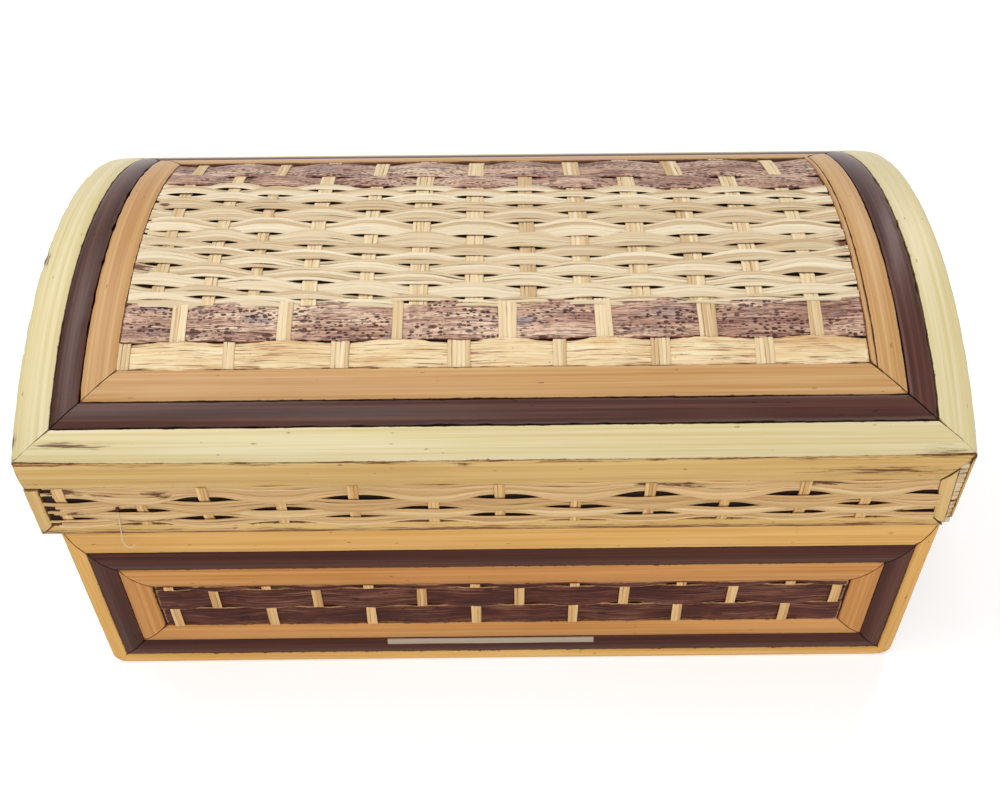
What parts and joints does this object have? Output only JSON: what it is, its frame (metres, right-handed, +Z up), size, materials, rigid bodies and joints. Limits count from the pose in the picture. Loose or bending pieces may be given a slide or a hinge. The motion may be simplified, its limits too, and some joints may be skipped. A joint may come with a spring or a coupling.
{
  "type": "rattan trinket chest",
  "caption": "Small chest of thin boards faced with woven rattan and mitred split strips, with a domed lid on two hinges.",
  "frame": {"origin": "middle of the chest's outline, on the surface it stands on", "axes": "+X to the right of someone who faces the front, +Y to the back, +Z up"},
  "size_m": [0.254, 0.145, 0.1217],
  "materials": {
    "pale_bamboo": "satin",
    "golden_bamboo": "satin",
    "tan_bamboo": "satin",
    "dark_bamboo": "satin",
    "rattan_fibre": "matt",
    "pale_bark": "satin",
    "brown_bark": "satin",
    "dark_bark": "satin",
    "stake": "satin",
    "board": "unfinished",
    "lining": "plain woven cotton",
    "brass": "aged"
  },
  "bodies": {
    "base": {"base_back_board": "board", "base_back_dark_frame": "dark_bamboo", "base_back_pale_frame": "golden_bamboo", "base_back_tan_frame": "tan_bamboo", "base_back_weave": "dark_bark", "base_floor": "board", "base_front_board": "board", "base_front_dark_frame": "dark_bamboo", "base_front_pale_frame": "golden_bamboo", "base_front_tan_frame": "tan_bamboo", "base_front_weave": "dark_bark", "base_hinge_leaves": "brass", "base_hinge_screws": "brass", "base_left_board": "board", "base_left_dark_frame": "dark_bamboo", "base_left_pale_frame": "golden_bamboo", "base_left_tan_frame": "tan_bamboo", "base_left_weave": "dark_bark", "base_lining": "lining", "base_right_board": "board", "base_right_dark_frame": "dark_bamboo", "base_right_pale_frame": "golden_bamboo", "base_right_tan_frame": "tan_bamboo", "base_right_weave": "dark_bark", "base_rim": "golden_bamboo", "hinge_pins": "brass"},
    "lid": {"dome_board": "board", "dome_dark_back": "dark_bamboo", "dome_dark_front": "dark_bamboo", "dome_dark_left": "dark_bamboo", "dome_dark_right": "dark_bamboo", "dome_dark_slat": "brown_bark", "dome_far_slats": "brown_bark", "dome_fibre_rows": "rattan_fibre", "dome_pale_back": "pale_bamboo", "dome_pale_front": "pale_bamboo", "dome_pale_left": "pale_bamboo", "dome_pale_right": "pale_bamboo", "dome_pale_slat": "pale_bark", "dome_stakes": "stake", "dome_tan_back": "tan_bamboo", "dome_tan_front": "tan_bamboo", "dome_tan_left": "tan_bamboo", "dome_tan_right": "tan_bamboo", "lid_back_board": "board", "lid_back_frame": "golden_bamboo", "lid_back_weave": "rattan_fibre", "lid_front_board": "board", "lid_front_frame": "golden_bamboo", "lid_front_weave": "rattan_fibre", "lid_hinge_leaves": "brass", "lid_hinge_screws": "brass", "lid_left_end_board": "board", "lid_left_frame": "golden_bamboo", "lid_left_weave": "rattan_fibre", "lid_lining": "lining", "lid_right_end_board": "board", "lid_right_frame": "golden_bamboo", "lid_right_weave": "rattan_fibre", "lid_rim": "golden_bamboo"}
  },
  "joints": [
    {"name": "lid_hinge", "type": "hinge", "parent": "base", "child": "lid", "pos_m": [0, 0.07105, 0.06915], "axis": [-1, 0, 0], "range_deg": [0, 180]}
  ]
}
